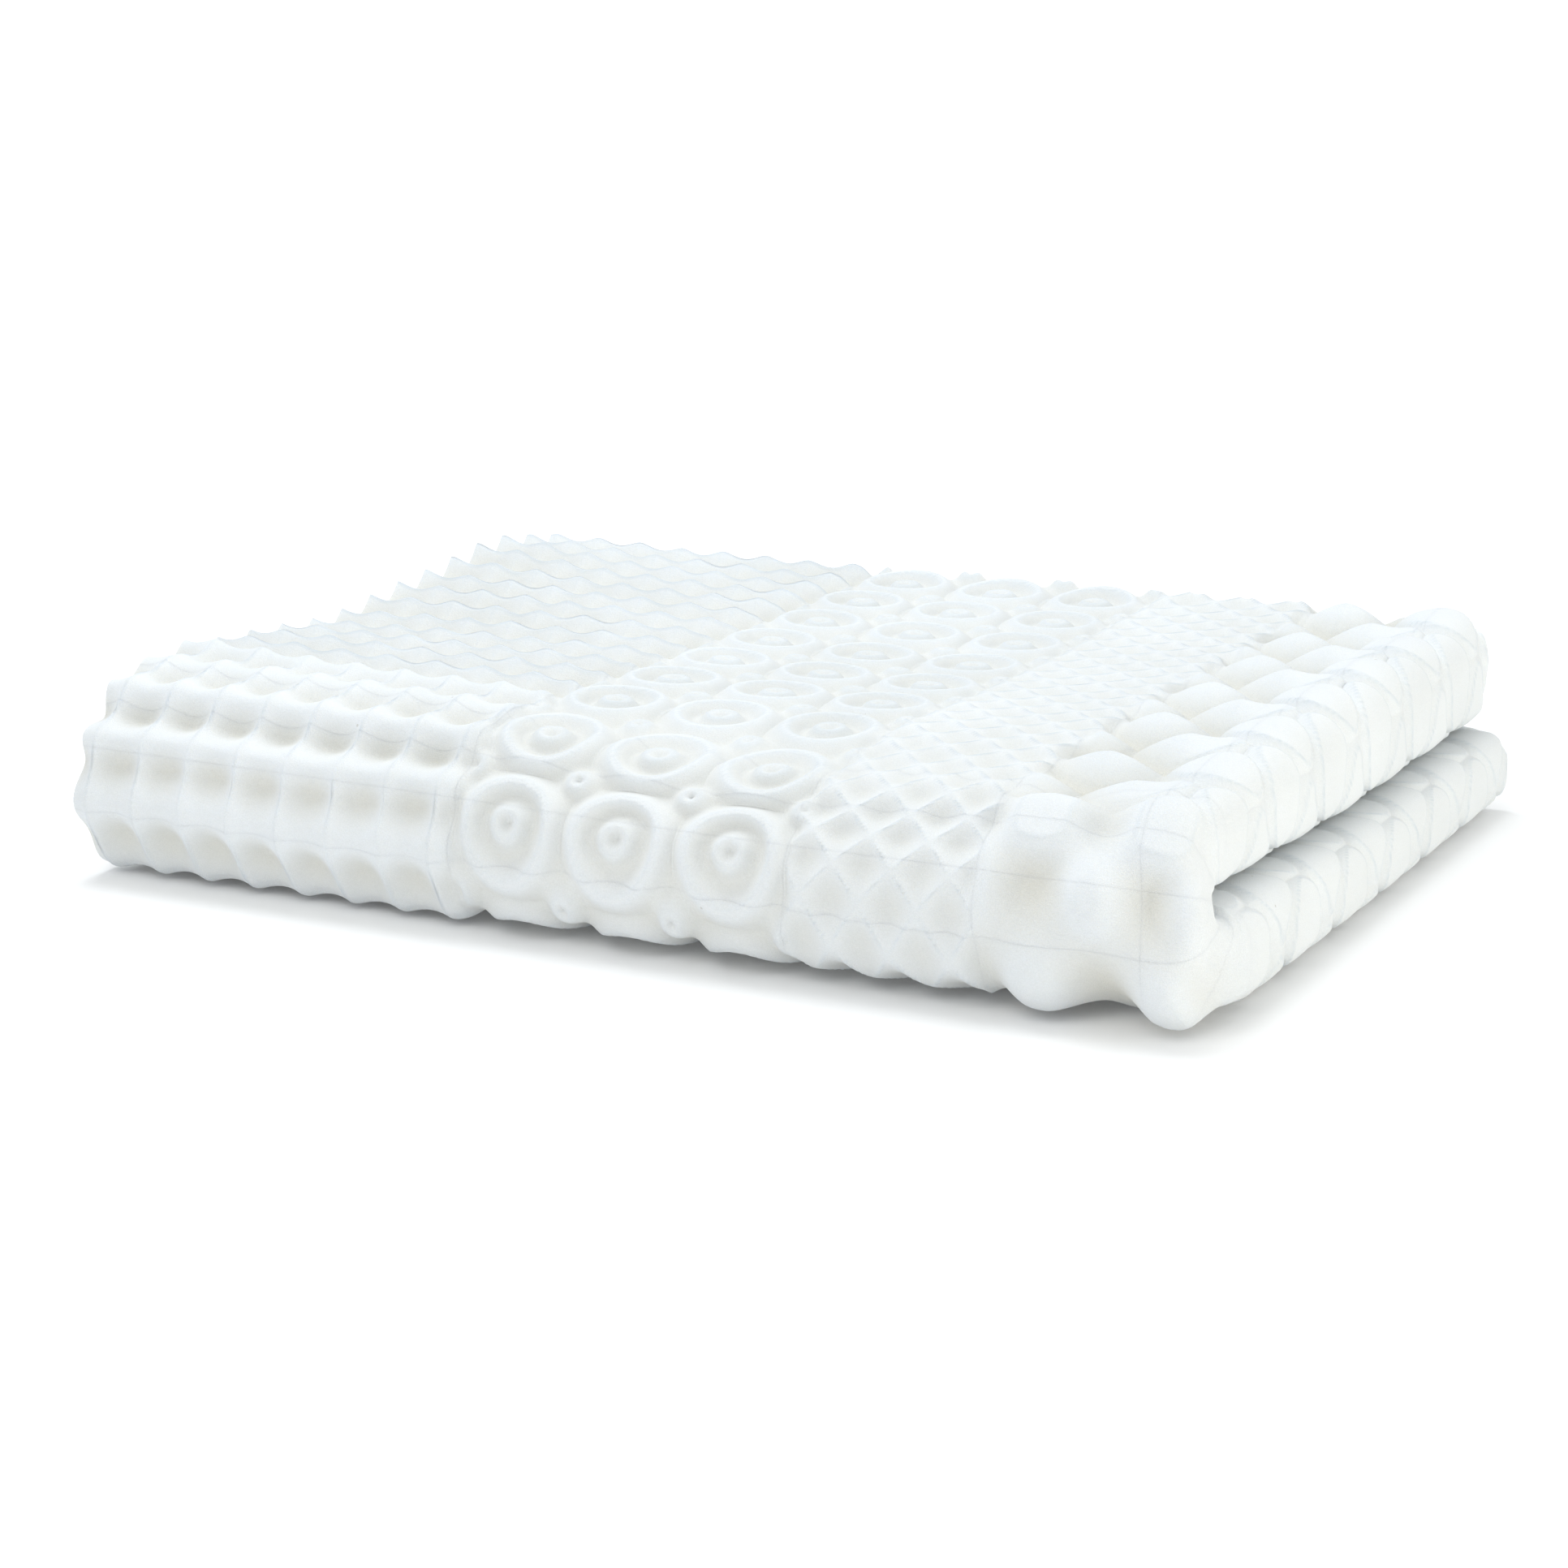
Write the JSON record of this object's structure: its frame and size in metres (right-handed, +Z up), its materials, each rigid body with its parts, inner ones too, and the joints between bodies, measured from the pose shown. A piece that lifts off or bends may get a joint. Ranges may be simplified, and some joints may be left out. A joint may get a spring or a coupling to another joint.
{
  "type": "foam sleeping pad",
  "caption": "Profiled foam pad folded in quarters, with waffle, ringed-bump and diamond zones on both faces; its upper half opens about the lengthwise fold.",
  "frame": {"origin": "centre of the folded pad's footprint, on the surface it lies on", "axes": "+X from the cut ends to the crosswise folds, +Y from the lengthwise fold to the open edges, +Z up"},
  "size_m": [1.01, 0.822, 0.184],
  "materials": {
    "foam": "matte open-cell foam"
  },
  "bodies": {
    "lower_half": {"lower_outer_waffle_zone": "foam", "lower_outer_ring_zone": "foam", "lower_outer_fine_diamond_zone": "foam", "lower_outer_broad_diamond_zone": "foam", "lower_inner_waffle_zone": "foam", "lower_inner_ring_zone": "foam", "lower_inner_fine_diamond_zone": "foam", "lower_inner_broad_diamond_zone": "foam", "lower_end_loop": "foam"},
    "fold_strip_1": {"fold_strip_1_outer_waffle": "foam", "fold_strip_1_outer_ring": "foam", "fold_strip_1_outer_fine_diamond": "foam", "fold_strip_1_outer_broad_diamond": "foam", "fold_strip_1_inner": "foam", "fold_strip_1_end_loop": "foam"},
    "fold_strip_2": {"fold_strip_2_outer_waffle": "foam", "fold_strip_2_outer_ring": "foam", "fold_strip_2_outer_fine_diamond": "foam", "fold_strip_2_outer_broad_diamond": "foam", "fold_strip_2_inner": "foam", "fold_strip_2_end_loop": "foam"},
    "fold_strip_3": {"fold_strip_3_outer_waffle": "foam", "fold_strip_3_outer_ring": "foam", "fold_strip_3_outer_fine_diamond": "foam", "fold_strip_3_outer_broad_diamond": "foam", "fold_strip_3_inner": "foam", "fold_strip_3_end_loop": "foam"},
    "fold_strip_4": {"fold_strip_4_outer_waffle": "foam", "fold_strip_4_outer_ring": "foam", "fold_strip_4_outer_fine_diamond": "foam", "fold_strip_4_outer_broad_diamond": "foam", "fold_strip_4_inner": "foam", "fold_strip_4_end_loop": "foam"},
    "upper_half": {"upper_outer_waffle_zone": "foam", "upper_outer_ring_zone": "foam", "upper_outer_fine_diamond_zone": "foam", "upper_outer_broad_diamond_zone": "foam", "upper_inner_waffle_zone": "foam", "upper_inner_ring_zone": "foam", "upper_inner_fine_diamond_zone": "foam", "upper_inner_broad_diamond_zone": "foam", "upper_end_loop": "foam"}
  },
  "joints": [
    {"name": "lengthwise_fold_1", "type": "hinge", "parent": "lower_half", "child": "fold_strip_1", "pos_m": [0, -0.34416, 0], "axis": [1, 0, 0], "range_deg": [0, 36]},
    {"name": "lengthwise_fold_2", "type": "hinge", "parent": "fold_strip_1", "child": "fold_strip_2", "pos_m": [0, -0.39253, 0.03514], "axis": [1, 0, 0], "range_deg": [0, 36]},
    {"name": "lengthwise_fold_3", "type": "hinge", "parent": "fold_strip_2", "child": "fold_strip_3", "pos_m": [0, -0.411, 0.092], "axis": [1, 0, 0], "range_deg": [0, 36]},
    {"name": "lengthwise_fold_4", "type": "hinge", "parent": "fold_strip_3", "child": "fold_strip_4", "pos_m": [0, -0.39253, 0.14886], "axis": [1, 0, 0], "range_deg": [0, 36]},
    {"name": "lengthwise_fold_5", "type": "hinge", "parent": "fold_strip_4", "child": "upper_half", "pos_m": [0, -0.34416, 0.184], "axis": [1, 0, 0], "range_deg": [0, 36]}
  ],
  "couplings": [
    {"joint": "lengthwise_fold_2", "follows": "lengthwise_fold_1", "ratio": 1},
    {"joint": "lengthwise_fold_3", "follows": "lengthwise_fold_1", "ratio": 1},
    {"joint": "lengthwise_fold_4", "follows": "lengthwise_fold_1", "ratio": 1},
    {"joint": "lengthwise_fold_5", "follows": "lengthwise_fold_1", "ratio": 1}
  ]
}
